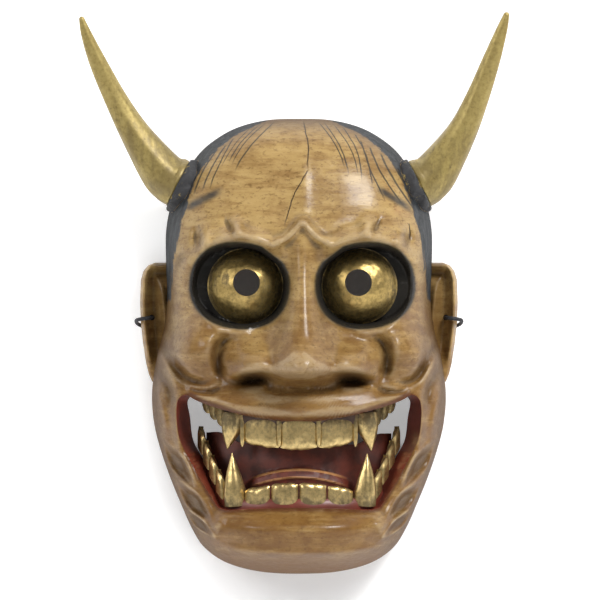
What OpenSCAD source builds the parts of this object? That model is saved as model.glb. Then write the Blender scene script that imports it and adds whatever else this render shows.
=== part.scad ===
/* [Face] */
// Height of the carved head, from crown to chin
head_h = 210; // [200:1:220]
// Depth of the dome behind the brow, nose and chin
dome_depth = 60; // [56:1:64]
// Thickness of the carved wood
wall = 7; // [6:0.5:8]
// How squarely the dome turns from the front to the sides
squareness = 3; // [2.8:0.1:3.2]

/* [Eyes] */
// Distance of each eye from the middle
eye_x = 26; // [25:0.5:27]
// How far the hand-carved eyes and nose lie to the right of the middle
face_lean = 1.6; // [0:0.2:2]
// Height of the eyes above the middle
eye_z = 27.5; // [26:0.5:29]
// Radius that the metal eye is domed to
eye_r = 18.5; // [18.2:0.1:19]
// Radius of the eye's round edge
eye_edge_r = 17.3; // [17:0.1:17.5]
// Thickness of the eye's metal
eye_metal = 1.4; // [1:0.1:2]
// Radius of the pupil hole
pupil_r = 6.1; // [5:0.1:7]
// How far the eye's edge sits in front of the rim
eye_seat_y = 45; // [43:0.5:46]

/* [Horns] */
// Rise of the horn's root above level
horn_rise = 27; // [24:1:30]
// Radius of the horn where it meets the skull
horn_root_r = 12.2; // [11:0.1:13]
// Radius of the round tenon on the horn's root
tenon_r = 5; // [4:0.5:6]
// Length of the tenon
tenon_l = 12; // [10:1:14]
// Clearance all round the tenon
tenon_gap = 0.05; // [0.02:0.01:0.1]

/* [Teeth] */
// Radius of the row of teeth, seen from above
arch_r = 55; // [54:0.5:56]
// Thickness of the metal tooth plates
plate_t = 3.5; // [3:0.5:4]

/* [Cord] */
// Diameter of the hanging cord
cord_d = 1.8; // [1.6:0.1:2]
// Radius of the stopper knots
knot_r = 2.2; // [2:0.1:2.4]

/* [Hidden] */
$fn = 48;

wood_colour = [0.70, 0.54, 0.36];
gold_colour = [0.62, 0.53, 0.25];
cord_colour = [0.06, 0.06, 0.07];
far = 400;

// Half of the head's outline from the crown to the chin, as [x, z] for a 210 mm head
OUTLINE = [
  [0, 105], [14, 104.5], [27, 101.5], [37, 96.5], [46, 89], [54, 77], [59, 66], [61.5, 53],
  [61.5, 38], [61, 22], [62.5, 8], [66, -6], [68, -22], [67, -36], [64, -48], [59.5, -61],
  [54.5, -73], [49.5, -84], [43.5, -93], [33, -100], [18, -104], [0, -105]
];
OUTLINE_STEPS = 1;
// Rings of the dome from its front to its rim, and how they crowd together at the nose
DOME_RINGS = 16;
ring_spacing = 1.5;

// Swellings of the face: [x, z, half width, half height, how far it stands forward]
SWELLS = [
  [0, -4, 14, 12, 22],     // tip of the nose
  [0, 17, 9, 17, 10],      // bridge of the nose
  [23, -7, 9, 9, 11],      // wings of the nose
  [0, 46, 10, 9, 7],       // knot of the brow
  [24, 52, 20, 8, 7],      // brow ridge
  [47, 3, 13, 14, 9],      // cheekbone
  [0, -27, 38, 10, 12],    // upper lip
  [0, -76, 40, 7, 6],      // lower lip
  [0, -87, 44, 12, 21]     // chin
];

// Right half of the mouth from the middle of the upper lip to the middle of the lower one
MOUTH = [
  [0, -34.2], [20, -32], [34, -28.5], [44, -25], [50, -22], [53, -28], [52.5, -41.5],
  [49.5, -50], [43.5, -62], [37.5, -72], [34.4, -74], [19, -73.3], [0, -72.9]
];
// Ear seen from the front
EAR = [
  [58, 38], [68, 38.4], [72, 36.5], [73.4, 31], [73.4, 18], [72, 4], [70.4, -10],
  [68, -18.5], [63.5, -18.5], [60, -4]
];
ear_front_y = -14;
ear_back_y = -8;
cord_hole = [68, 13];
wall_hole = [-4.5, 6];

// Middle lines and radii of the two hand-carved horns
LEFT_HORN = [
  [-63.9, -22.5, 81.2, 10], [-75.3, -24, 97.5, 7], [-84, -26, 112.8, 5.3],
  [-92.2, -29, 130, 4], [-97.4, -31.5, 143, 2.5], [-99.8, -33, 151, 0.9]
];
RIGHT_HORN = [
  [63.8, -22.5, 81.2, 10], [74.3, -24, 97.5, 7], [81.6, -26, 113.5, 5.4],
  [88.2, -29, 131, 4.1], [93, -31.5, 145, 2.6], [95.4, -33, 153, 0.9]
];
horn_seat = [55.4, -22, 74.6];

// Half of the cord's route, from the left knot to the middle of the sag
CORD_HALF = [
  [-68, -6, 13], [-68, -10, 13], [-68, -14, 13], [-69.2, -16.7, 12.8], [-71.6, -17.6, 12.5],
  [-74, -16.4, 12.1], [-75, -14, 11.6], [-75, -9, 10.6], [-74.2, -6.4, 9.8],
  [-71.5, -4.9, 8.6], [-67, -4.5, 7], [-62, -4.5, 6], [-56, -4.5, 6], [-50, -4.5, 4],
  [-45, -4.5, -3], [-40, -4.5, -13], [-31, -4.5, -24], [-17, -4.5, -32.5], [0, -4.5, -36]
];

tooth_arch_y = -8;
upper_teeth = [-47, -31];
lower_teeth = [-73, -61];

// ---- helpers ----

function mirrored(half) = concat(half, [for (i = [len(half) - 2:-1:1]) [-half[i][0], half[i][1]]]);

// A round-cornered closed line through the points, with extra points between each pair
function rounded(pts, steps) = [
  for (i = [0:len(pts) - 1], k = [0:steps])
    let (n = len(pts), t = k / (steps + 1),
         a = pts[(i + n - 1) % n], b = pts[i], c = pts[(i + 1) % n], d = pts[(i + 2) % n])
      (2 * b + (c - a) * t + (2 * a - 5 * b + 4 * c - d) * t * t
        + (3 * b - a - 3 * c + d) * t * t * t) / 2
];

function swelling(s, x, z) = s[4] * exp(-pow((abs(x - (s[1] > -20 ? face_lean : 0)) - s[0]) / s[2], 2) - pow((z - s[1]) / s[3], 2));

function relief(x, z, i = 0) = i >= len(SWELLS) ? 0 : swelling(SWELLS[i], x, z) + relief(x, z, i + 1);

function eye_middle(side) = side * eye_x + face_lean;

function unit(v) = v / norm(v);

// Directions across a tube, carried along its route without twisting
function carried(across, along) = unit(across - along * (across * along));

function direction(path, i) =
  unit(path[min(i + 1, len(path) - 1)] - path[max(i - 1, 0)]);

// A tube along a route, with its own radius at each point
module tube(path, radii, sides, first_along, first_across) {
  last = len(path) - 1;
  along = [for (i = [0:last]) i == 0 ? first_along : direction(path, i)];
  across = [for (i = 0, a = carried(first_across, along[0]); i <= last;
                 i = i + 1, a = carried(a, along[min(i, last)])) a];
  points = [
    for (i = [0:last], k = [0:sides - 1])
      let (turn = 360 * k / sides)
        path[i] + radii[i] * (cos(turn) * across[i] + sin(turn) * cross(along[i], across[i]))
  ];
  faces = concat(
    [[for (k = [0:sides - 1]) k]],
    [for (i = [0:last - 1], k = [0:sides - 1])
      let (a = i * sides + k, b = i * sides + (k + 1) % sides) [b, a, a + sides]],
    [for (i = [0:last - 1], k = [0:sides - 1])
      let (a = i * sides + k, b = i * sides + (k + 1) % sides) [b, a + sides, b + sides]],
    [[for (k = [sides - 1:-1:0]) last * sides + k]]
  );
  polyhedron(points = points, faces = faces, convexity = 4);
}

// A closed dome over the outline: fullness 1 carries the face's swellings, 0 is plain
module dome(inset, depth, fullness) {
  outline = rounded(mirrored(OUTLINE) * head_h / 210, OUTLINE_STEPS);
  count = len(outline);
  power = 2 / squareness;
  rings = [
    for (j = [1:DOME_RINGS], p = outline)
      let (t = 90 * pow(j / DOME_RINGS, ring_spacing),
           edge = p * (1 - inset / norm(p)),
           x = edge[0] * pow(sin(t), power),
           z = edge[1] * pow(sin(t), power),
           front = j == DOME_RINGS ? 0 : pow(cos(t), power))
        [x, -front * (depth + fullness * relief(x, z)), z]
  ];
  skirt = [for (p = outline) let (edge = p * (1 - inset / norm(p))) [edge[0], 3, edge[1]]];
  points = concat([[0, -depth - fullness * relief(0, 0), 0]], rings, skirt);
  faces = concat(
    [for (k = [0:count - 1]) [0, 1 + k, 1 + (k + 1) % count]],
    [for (j = [0:DOME_RINGS - 1], k = [0:count - 1])
      let (a = 1 + j * count + k, b = 1 + j * count + (k + 1) % count) [b, a, b + count]],
    [for (j = [0:DOME_RINGS - 1], k = [0:count - 1])
      let (a = 1 + j * count + k, b = 1 + j * count + (k + 1) % count) [b + count, a, a + count]],
    [[for (k = [count - 1:-1:0]) 1 + DOME_RINGS * count + k]]
  );
  polyhedron(points = points, faces = faces, convexity = 6);
}

// Stands a front-view shape up and gives it depth from y_front to y_back
module from_front(y_front, y_back) {
  translate([0, y_back, 0]) rotate([90, 0, 0]) linear_extrude(y_back - y_front) children();
}

// A round bar pointing straight back, from y_front to y_back
module bar_back(x, z, r, y_front, y_back) {
  translate([x, y_back, z]) rotate([90, 0, 0]) cylinder(r = r, h = y_back - y_front);
}

// Places its children on the horn's seat, with their Z along the horn's root
module at_horn(side) {
  translate([side * horn_seat[0], horn_seat[1], horn_seat[2]])
    rotate([0, side * (90 - horn_rise), 0]) children();
}

// A piece of the curved band of gum or teeth, between two angles from straight ahead
module arch_piece(from, to, r_in, r_out, z_low, z_high) {
  translate([0, tooth_arch_y, z_low]) rotate([0, 0, -90 + from])
    rotate_extrude(angle = to - from) translate([r_in, 0]) square([r_out - r_in, z_high - z_low]);
}

// A pointed tooth whose root is at the given height on the arch
module fang(angle, z_root, length, root_r, lean) {
  rotate_root = length > 0 ? 0 : 180;
  translate([0, tooth_arch_y, z_root]) rotate([0, 0, angle]) translate([0, -arch_r + 2, 0])
    rotate([0, lean, 0]) rotate([rotate_root, 0, 0])
      cylinder(r1 = root_r, r2 = 0.5, h = abs(length));
}

// ---- teeth ----

module upper_tooth_plate() color(gold_colour)
  for (start = [-28, -9.2, 9.6]) arch_piece(start, start + 18.4, arch_r - plate_t, arch_r,
                                            upper_teeth[0], upper_teeth[1]);

module lower_tooth_plate() color(gold_colour)
  for (start = [-27.4, -13.6, 0.2, 14]) arch_piece(start, start + 13.4, arch_r - plate_t, arch_r,
                                                   lower_teeth[0], lower_teeth[1]);

module upper_fang(side) color(gold_colour) fang(side * 35, -31, -18, 4.2, side * 4);

module lower_fang(side) color(gold_colour) fang(side * 35, -72, 24, 4.4, -side * 6);

// Three short blunt teeth behind each upper fang
module upper_side_teeth(side) color(gold_colour)
  for (i = [0:2]) {
    start = 41 + 5.4 * i;
    arch_piece(side > 0 ? start : -start - 5, side > 0 ? start + 5 : -start,
               arch_r - plate_t - 1, arch_r - 1, -37 + 3.5 * i, -27);
  }

// Four short blunt teeth that climb from each lower fang to the corner of the mouth
module lower_side_teeth(side) color(gold_colour)
  for (i = [0:3]) bar_back(side * (36 + 2.9 * i), -62 + 6.6 * i, 3.2, -52 + 1.5 * i, -45);

module all_teeth() {
  upper_tooth_plate();
  lower_tooth_plate();
  for (side = [-1, 1]) {
    upper_fang(side);
    lower_fang(side);
    upper_side_teeth(side);
    lower_side_teeth(side);
  }
}

// ---- eyes ----

module eye(side) color(gold_colour) {
  sphere_y = -eye_seat_y + sqrt(eye_r * eye_r - eye_edge_r * eye_edge_r);
  difference() {
    translate([eye_middle(side), sphere_y, eye_z]) sphere(r = eye_r);
    translate([eye_middle(side), sphere_y, eye_z]) sphere(r = eye_r - eye_metal);
    translate([-far / 2, -eye_seat_y, -far / 2]) cube(far);
    bar_back(eye_middle(side) - side * 0.6, eye_z + 1.5, pupil_r, -far / 2, 0);
  }
}

// ---- horns ----

module horn(path, side) color(gold_colour) {
  along = [side * cos(horn_rise), 0, sin(horn_rise)];
  root = [side * horn_seat[0], horn_seat[1], horn_seat[2]];
  tube(
    concat([root, root + 4 * along], [for (p = path) [p[0], p[1], p[2]]]),
    concat([horn_root_r, horn_root_r - 1.2], [for (p = path) p[3]]),
    16, along, [0, 1, 0]
  );
  at_horn(side) translate([0, 0, -tenon_l]) cylinder(r = tenon_r, h = tenon_l + 1);
}

// ---- carved wood ----

module ear() {
  for (side = [-1, 1])
    from_front(ear_front_y, ear_back_y) polygon([for (p = EAR) [side * p[0], p[1]]]);
}

module gums() {
  arch_piece(-58, 58, arch_r - 10, arch_r - plate_t + 0.8, -38, -24);
  arch_piece(-42, 42, arch_r - 10, arch_r - plate_t + 0.8, -82, -64);
}

// Floor of the mouth that rises behind the lower teeth, with the tongue on it
module jaw_floor() {
  from_front(-50, -42) polygon([[-46, -39.5], [46, -39.5], [42, -56], [34, -78], [-34, -78], [-42, -56]]);
  from_front(-55, -49) polygon([[-28, -66], [28, -66], [24, -84], [-24, -84]]);
  arch_piece(-24, 24, 38, 46, -60, -56);
}

module carved_wood() {
  difference() {
    dome(0, dome_depth, 1);
    dome(wall, dome_depth - wall, 0);
    from_front(-far / 2, -20) polygon(mirrored(MOUTH));
  }
  ear();
  gums();
  jaw_floor();
  for (side = [-1, 1]) {
    bar_back(eye_middle(side), eye_z, eye_edge_r + 3, -eye_seat_y - 4, -eye_seat_y + 4);
    at_horn(side) translate([0, 0, -15]) cylinder(r = horn_root_r + 1, h = 15);
  }
}

module mask_shell() color(wood_colour)
  difference() {
    carved_wood();
    all_teeth();
    for (side = [-1, 1]) {
      translate([eye_middle(side) + side * 0.6, -eye_seat_y - 20, eye_z - 0.5]) sphere(r = 23.5);
      bar_back(eye_middle(side), eye_z, eye_edge_r + 0.2, -far / 2, -eye_seat_y);
      bar_back(eye_middle(side), eye_z, eye_edge_r - 3.3, -far / 2, 0);
      translate([side * 20, -76, -14]) sphere(r = 4.6);
      at_horn(side) translate([0, 0, -tenon_l - 0.5]) cylinder(r = tenon_r + tenon_gap, h = far / 10);
      bar_back(side * cord_hole[0], cord_hole[1], 1.3, -far / 10, 0);
      translate([side * 50, wall_hole[0], wall_hole[1]]) rotate([0, side * 90, 0]) cylinder(r = 1.4, h = 20);
    }
    translate([-far / 2, 0, -far / 2]) cube(far);
  }

// ---- cord ----

function cord_route() =
  concat(CORD_HALF, [for (i = [len(CORD_HALF) - 2:-1:0]) [-CORD_HALF[i][0], CORD_HALF[i][1], CORD_HALF[i][2]]]);

module hanging_cord() color(cord_colour) {
  route = cord_route();
  tube(route, [for (p = route) cord_d / 2], 8, [0, -1, 0], [1, 0, 0]);
}

module cord_knot(side) color(cord_colour)
  translate([side * -CORD_HALF[0][0], CORD_HALF[0][1], CORD_HALF[0][2]]) sphere(r = knot_r, $fn = 32);

mask_shell();
horn(LEFT_HORN, -1);  // left_horn
horn(RIGHT_HORN, 1);  // right_horn
eye(-1);  // left_eye
eye(1);  // right_eye
upper_tooth_plate();
lower_tooth_plate();
upper_fang(-1);  // upper_left_fang
upper_fang(1);  // upper_right_fang
lower_fang(-1);  // lower_left_fang
lower_fang(1);  // lower_right_fang
upper_side_teeth(-1);  // upper_left_side_teeth
upper_side_teeth(1);  // upper_right_side_teeth
lower_side_teeth(-1);  // lower_left_side_teeth
lower_side_teeth(1);  // lower_right_side_teeth
hanging_cord();
cord_knot(-1);  // left_cord_knot
cord_knot(1);  // right_cord_knot
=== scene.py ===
# %% [markdown]
# # A horned noh mask
# A noh mask is carved from one block of cypress, hollowed from behind, painted with many thin coats
# and fitted with metal eyes and metal-faced teeth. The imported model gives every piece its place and
# its joints. This lesson gives each piece the shape and the finish that a carver, a lacquerer and a
# metalworker would.

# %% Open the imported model
import math
import bmesh
import bpy
import numpy as np
from mathutils import Matrix, Vector, noise


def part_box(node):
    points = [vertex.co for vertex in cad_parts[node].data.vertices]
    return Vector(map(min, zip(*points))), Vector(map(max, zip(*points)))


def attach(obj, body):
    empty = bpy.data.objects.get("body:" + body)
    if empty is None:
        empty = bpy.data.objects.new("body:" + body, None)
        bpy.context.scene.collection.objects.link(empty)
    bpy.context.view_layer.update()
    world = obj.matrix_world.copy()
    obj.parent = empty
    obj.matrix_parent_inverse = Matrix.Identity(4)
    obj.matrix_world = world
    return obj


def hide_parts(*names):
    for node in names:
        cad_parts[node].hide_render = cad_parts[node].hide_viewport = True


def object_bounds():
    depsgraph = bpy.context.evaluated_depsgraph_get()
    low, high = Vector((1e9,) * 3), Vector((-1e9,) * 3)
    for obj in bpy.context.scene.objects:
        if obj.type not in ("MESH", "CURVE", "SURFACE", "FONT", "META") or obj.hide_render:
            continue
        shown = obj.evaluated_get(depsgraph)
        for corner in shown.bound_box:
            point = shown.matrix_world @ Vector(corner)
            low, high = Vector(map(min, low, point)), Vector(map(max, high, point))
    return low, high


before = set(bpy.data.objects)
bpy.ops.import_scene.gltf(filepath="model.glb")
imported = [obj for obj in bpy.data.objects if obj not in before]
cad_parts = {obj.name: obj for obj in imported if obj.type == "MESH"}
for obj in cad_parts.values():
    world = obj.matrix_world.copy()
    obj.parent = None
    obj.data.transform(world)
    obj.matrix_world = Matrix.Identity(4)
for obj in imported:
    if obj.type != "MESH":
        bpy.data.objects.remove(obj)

cad_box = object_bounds()
MM = 0.001
print("packed model:", [round(c, 3) for corner in cad_box for c in corner])

# %% [markdown]
# ## Camera and room
# A mask is looked at square on and from far away, so that the nose doesn't swell. It hangs with its
# rim against a pale board, which catches the shadow under its chin, over a pale floor. The board shows
# only from the front, so that the hollow back can be looked at as well.

# %% Camera
CAMERA_AWAY = 2.5
FACE_PLANE = 0.03       # the face lies about this far in front of the rim
VIEW_WIDTH = 0.2751     # what the view takes in at the face, in m
SENSOR = 36
lens = bpy.data.cameras.new("portrait_lens")
lens.sensor_width = SENSOR
lens.lens = SENSOR * (CAMERA_AWAY - FACE_PLANE) / VIEW_WIDTH
camera = bpy.data.objects.new("camera", lens)
camera.location = (0.0005, -CAMERA_AWAY, 0.0211)
camera.rotation_euler = (math.radians(90), 0, 0)
bpy.context.collection.objects.link(camera)
bpy.context.scene.camera = camera
bpy.context.scene.view_settings.view_transform = "Standard"

# %% [markdown]
# Shader maths reads best as ordinary expressions. A `Wire` wraps one socket of a material, the
# operators add Math nodes, and `node` adds any other kind.

# %% A socket that can be used in expressions
class Wire:
    """One socket of a material; adding, multiplying and so on make Math nodes"""

    def __init__(self, tree, socket=None):
        self.tree = tree
        self.socket = socket

    def plug(self, value, socket):
        if isinstance(value, Wire):
            self.tree.links.new(value.socket, socket)
        elif value is not None:
            socket.default_value = value

    def node(self, kind, settings=None, inputs=None, out=0):
        made = self.tree.nodes.new(kind)
        for name, value in (settings or {}).items():
            setattr(made, name, value)
        for name, value in (inputs or {}).items():
            self.plug(value, made.inputs[name])
        return Wire(self.tree, made.outputs[out])

    def math(self, operation, a, b=None):
        return self.node("ShaderNodeMath", {"operation": operation}, {0: a, 1: b})

    def __add__(self, other): return self.math("ADD", self, other)
    def __radd__(self, other): return self.math("ADD", other, self)
    def __sub__(self, other): return self.math("SUBTRACT", self, other)
    def __rsub__(self, other): return self.math("SUBTRACT", other, self)
    def __mul__(self, other): return self.math("MULTIPLY", self, other)
    def __rmul__(self, other): return self.math("MULTIPLY", other, self)
    def __truediv__(self, other): return self.math("DIVIDE", self, other)
    def __abs__(self): return self.math("ABSOLUTE", self)

    def least(self, other): return self.math("MINIMUM", self, other)
    def most(self, other): return self.math("MAXIMUM", self, other)

    def ramp(self, low, high):
        """0 at low and 1 at high, with soft ends; low may be the larger"""
        return self.node("ShaderNodeMapRange", {"interpolation_type": "SMOOTHSTEP"},
                         {0: self, 1: low, 2: high, 3: 0.0, 4: 1.0})

    def mix(self, share, a, b):
        """Colour a where share is 0 and colour b where it is 1"""
        return self.node("ShaderNodeMix", {"data_type": "RGBA"}, {0: share, 6: a, 7: b}, out=2)

    def noise(self, place, scale, detail=4.0, roughness=0.55, stretch=None):
        """Cloudy noise; scale is in patches per metre, and stretch squeezes each axis"""
        if stretch:
            place = self.node("ShaderNodeVectorMath", {"operation": "MULTIPLY"}, {0: place, 1: stretch})
        return self.node("ShaderNodeTexNoise", None,
                         {"Vector": place, "Scale": scale, "Detail": detail, "Roughness": roughness})

    def attribute(self, name):
        return self.node("ShaderNodeAttribute", {"attribute_name": name}, out=2)


def rgb(r, g, b):
    return (r, g, b, 1.0)


def finish_material(name, paint):
    """A material whose look is written by paint(wire, shader) on a Principled shader"""
    material = bpy.data.materials.new(name)
    material.use_nodes = True
    shader = material.node_tree.nodes["Principled BSDF"]
    paint(Wire(material.node_tree), shader)
    print("finish:", name, len(material.node_tree.nodes), "nodes")
    return material


def object_place(wire):
    """Object coordinates, in m from the middle of the rim"""
    return wire.node("ShaderNodeTexCoord", out=3)


def split(wire, place):
    """The three axes of a vector socket"""
    parts = wire.node("ShaderNodeSeparateXYZ", None, {0: place}).socket.node.outputs
    return [Wire(wire.tree, socket) for socket in parts]


def bump(wire, height, distance, strength=1.0, under=None):
    """A bump whose height of 1 stands distance metres proud, on top of the bump under it"""
    return wire.node("ShaderNodeBump", None, {"Height": height, "Distance": distance,
                                              "Strength": strength, "Normal": under})

# %% [markdown]
# ## Floor, board and light
# The room is plain, so that nothing but the mask catches the eye. A big soft lamp from the upper right
# models the face, a weaker one on the left opens its shadows, and the sky is darker below, as it is over
# a floor. The board has a painted glow, which is less behind the mask, so that its shadow stays, and is
# brighter behind the mouth's corners, as painted light seen through them.

# %% Floor and board
def pale(wire, shader):
    """Plain matt white; it needs no wire of its own"""
    shader.inputs["Base Color"].default_value = rgb(0.90, 0.90, 0.90)
    shader.inputs["Roughness"].default_value = 0.8
    shader.inputs["Specular IOR Level"].default_value = 0.0
    shader.inputs["Emission Color"].default_value = rgb(1, 1, 1)
    shader.inputs["Emission Strength"].default_value = 0.04


def pale_from_the_front(wire, shader):
    """The board has a painted glow, dim behind the mask so that its shadow stays, and painted light behind
    the mouth's corners
    """
    pale(wire, shader)
    x, y, z = [axis * 1000 for axis in split(wire, object_place(wire))]
    across, up = x / 74, (z + 21) / 120
    # painted light: the board glows except behind the mask, and glows again behind the mouth's corners so
    # that they look lit through
    clear_of_mask = (across * across + up * up).ramp(0.55, 1.05)
    corner = ((abs(x) - 43) * (abs(x) - 43) + (z + 33) * (z + 33)).ramp(330, 120)
    painted_board_glow = wire.mix(clear_of_mask.most(corner * 0.9), rgb(0.06, 0.06, 0.06), rgb(1, 1, 1))
    wire.plug(painted_board_glow, shader.inputs["Emission Color"])
    shader.inputs["Emission Strength"].default_value = 0.42
    clear = wire.node("ShaderNodeBsdfTransparent")
    behind = wire.node("ShaderNodeNewGeometry", out=6)
    shown = wire.node("ShaderNodeMixShader", None,
                      {0: behind, 1: Wire(wire.tree, shader.outputs[0]), 2: clear})
    wire.plug(shown, wire.tree.nodes["Material Output"].inputs["Surface"])


def room_panel(name, material, profile, half_width):
    """A sheet whose side view is the profile, a list of (y, z)"""
    bm = bmesh.new()
    verts = [bm.verts.new((-half_width, y, z)) for y, z in profile]
    edges = [bm.edges.new(pair) for pair in zip(verts, verts[1:])]
    grown = bmesh.ops.extrude_edge_only(bm, edges=edges)["geom"]
    moved = [v for v in grown if isinstance(v, bmesh.types.BMVert)]
    bmesh.ops.translate(bm, verts=moved, vec=(2 * half_width, 0, 0))
    for face in bm.faces:
        face.normal_update()
        if face.normal.y > 0.01 or face.normal.z < -0.01:
            face.normal_flip()
    mesh = bpy.data.meshes.new(name)
    bm.to_mesh(mesh)
    mesh.materials.append(material)
    panel = bpy.data.objects.new(name, mesh)
    bpy.context.collection.objects.link(panel)


FLOOR_Z = cad_box[0][2] - 0.30
BOARD_Y = cad_box[1][1] + 0.0006
COVE = 0.05     # radius of the curve from floor to board
room_panel("floor", finish_material("pale_floor", pale), [(-3, FLOOR_Z), (3, FLOOR_Z)], 3)
cove = [(BOARD_Y - COVE + COVE * math.sin(a), FLOOR_Z + 0.0005 + COVE - COVE * math.cos(a))
        for a in np.linspace(0, math.pi / 2, 9)]
room_panel("board", finish_material("pale_board", pale_from_the_front), [*cove, (BOARD_Y, 1.6)], 1.6)
print("floor at", round(FLOOR_Z, 3), "m, board at", round(BOARD_Y, 4), "m")

# %% Sky and lamps
world = bpy.data.worlds.new("studio")
world.use_nodes = True
bpy.context.scene.world = world
sky = Wire(world.node_tree)
height = split(sky, sky.node("ShaderNodeTexCoord", out=0))[2]
seen = sky.node("ShaderNodeLightPath")
light = sky.mix(height.ramp(-0.35, 0.9), rgb(0.07, 0.07, 0.07), rgb(0.40, 0.40, 0.41))
sky.plug(sky.mix(seen, light, rgb(1, 1, 1)), world.node_tree.nodes["Background"].inputs["Color"])


def softbox(name, place, size, watts):
    """A square lamp, size metres wide, that points at the face"""
    lamp = bpy.data.lights.new(name, "AREA")
    lamp.size = size
    lamp.energy = watts
    box = bpy.data.objects.new(name, lamp)
    box.location = place
    box.rotation_euler = (Vector((0, 0, 0.02)) - Vector(place)).to_track_quat("-Z", "Y").to_euler()
    bpy.context.collection.objects.link(box)


softbox("key_light", (0.80, -1.10, 1.20), 0.60, 31)
softbox("fill_light", (-1.15, -0.95, 0.60), 0.50, 6.5)
print("lamps:", [lamp.name for lamp in bpy.data.lights])

# %% [markdown]
# ## The carved head
# The carver saws the block to an outline, rounds it to a dome and then cuts the features. The same
# order works here: a flat grid is laid over the dome, and each swelling, ridge and groove pushes it
# forward or back. A height for each point is a fair model of carving from the front, because the
# gouge only ever reaches the wood from there.

# %% Outline and dome
# Half of the head's outline from the crown to the chin, in mm across and up
OUTLINE = [(0, 105), (14, 104.5), (27, 101.5), (37, 96.5), (46, 89), (54, 77), (59, 66), (61.5, 53),
           (61.5, 38), (61, 22), (62.5, 8), (66, -6), (68, -22), (67, -36), (64, -48), (59.5, -61),
           (54.5, -73), (49.5, -84), (43.5, -93), (33, -100), (18, -104), (0, -105)]
HALF_WIDTH, HALF_HEIGHT = 66, 105
DOME_DEPTH = 60
WALL = 7        # thickness of the wood
LEAN = 1.6      # the hand-carved eyes and nose lie a little to the right
SIDE_SQUARE, CHIN_SQUARE = 3, 1.6       # how square the dome is, and how much more so at the chin


def rounded(points, steps):
    """More points on a smooth closed line through the points"""
    p = np.array(points, float)
    a, c, d = np.roll(p, 1, 0), np.roll(p, -1, 0), np.roll(p, -2, 0)
    t = (np.arange(steps) / steps)[None, :, None]
    a, b, c, d = a[:, None], p[:, None], c[:, None], d[:, None]
    line = (2 * b + (c - a) * t + (2 * a - 5 * b + 4 * c - d) * t**2 + (3 * b - a - 3 * c + d) * t**3) / 2
    return line.reshape(-1, p.shape[1])


edge = rounded(OUTLINE + [(-x, z) for x, z in OUTLINE[-2:0:-1]], 8)
edge_turn = np.arctan2(edge[:, 1], edge[:, 0])
order = np.argsort(edge_turn)
edge_turn, edge_reach = edge_turn[order], np.hypot(edge[:, 0], edge[:, 1])[order]
print("outline:", len(edge), "points,", round(float(np.ptp(edge[:, 1]))), "mm from crown to chin")


def smooth(low, high, value):
    """0 below low, 1 above high and a soft step between; low may be the larger"""
    share = np.clip((value - low) / (high - low), 0, 1)
    return share * share * (3 - 2 * share)


def on_dome(u, v, inset):
    """Lays grid places (each from -1 to 1) on the dome: across, up, share of the way out, and front

    The square grid is rounded to a disc, whose rings are then spread evenly down the dome's side.
    """
    du, dv = u * np.sqrt(1 - v * v / 2), v * np.sqrt(1 - u * u / 2)
    out = np.minimum(np.hypot(du, dv), 1)
    turn = np.arctan2(dv * HALF_HEIGHT, du * HALF_WIDTH)
    steps = np.linspace(0, math.pi / 2, 400)
    across, forward = 85 * np.sin(steps) ** (2 / 3), DOME_DEPTH * np.cos(steps) ** (2 / 3)
    walked = np.concatenate([[0], np.cumsum(np.hypot(np.diff(across), 0.75 * np.diff(forward)))])
    roll = np.interp(out, walked / walked[-1], steps)
    squareness = SIDE_SQUARE + CHIN_SQUARE * np.clip(-np.sin(turn), 0, 1) ** 4
    share = np.sin(roll) ** (2 / squareness)
    front = np.where(out > 0.9999, 0, np.cos(roll) ** (2 / squareness))
    reach = (np.interp(turn, edge_turn, edge_reach, period=2 * math.pi) - inset) * share
    return reach * np.cos(turn), reach * np.sin(turn), share, front

# %% [markdown]
# The carving tools: a `swell` is a soft round, a `stroke` follows a line with a ridge or a groove,
# and an `oval` tells how far inside a rounded shape a point lies. They work on every point of the face
# at once, so a whole feature is one line.

# %% Carving tools
def swell(x, z, cx, cz, rx, rz, height, turn=0.0, power=2.0):
    """A soft round about (cx, cz); a higher power gives it a flatter top and steeper sides"""
    c, s = math.cos(math.radians(turn)), math.sin(math.radians(turn))
    along, up = ((x - cx) * c + (z - cz) * s) / rx, ((z - cz) * c - (x - cx) * s) / rz
    return height * np.exp(-(np.abs(along) ** power) - np.abs(up) ** power)


def stroke(x, z, points, width, height, fade=0.35, sharp=2.0):
    """A ridge, or a groove where height is negative, that dies away at both ends of its line"""
    points = rounded_open(points, 5)
    steps = np.hypot(*np.diff(points, axis=0).T)
    walked = np.concatenate([[0], np.cumsum(steps)])
    best = np.zeros_like(x)
    for (ax, az), (bx, bz), step, start in zip(points, points[1:], steps, walked):
        share = np.clip(((x - ax) * (bx - ax) + (z - az) * (bz - az)) / step**2, 0, 1)
        away = np.hypot(x - ax - share * (bx - ax), z - az - share * (bz - az))
        place = (start + share * step) / walked[-1]
        ends = smooth(0, fade, place) * smooth(0, fade, 1 - place) if fade else 1
        best = np.maximum(best, ends * np.exp(-((away / width) ** sharp)))
    return height * best


def rounded_open(points, steps):
    """More points on a smooth open line through the points"""
    p = np.array(points, float)
    if len(p) < 3:
        return p
    p = np.vstack([2 * p[0] - p[1], p, 2 * p[-1] - p[-2]])
    t = (np.arange(steps) / steps)[None, :, None]
    a, b, c, d = p[:-3, None], p[1:-2, None], p[2:-1, None], p[3:, None]
    line = (2 * b + (c - a) * t + (2 * a - 5 * b + 4 * c - d) * t**2 + (3 * b - a - 3 * c + d) * t**3) / 2
    return np.vstack([line.reshape(-1, p.shape[1]), p[-2]])


def oval(x, z, cx, cz, rx, rz, turn=0.0, power=2.3):
    """0 at the middle of an oval and 1 on its edge"""
    c, s = math.cos(math.radians(turn)), math.sin(math.radians(turn))
    along, up = ((x - cx) * c + (z - cz) * s) / rx, ((z - cz) * c - (x - cx) * s) / rz
    return (np.abs(along) ** power + np.abs(up) ** power) ** (1 / power)

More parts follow.
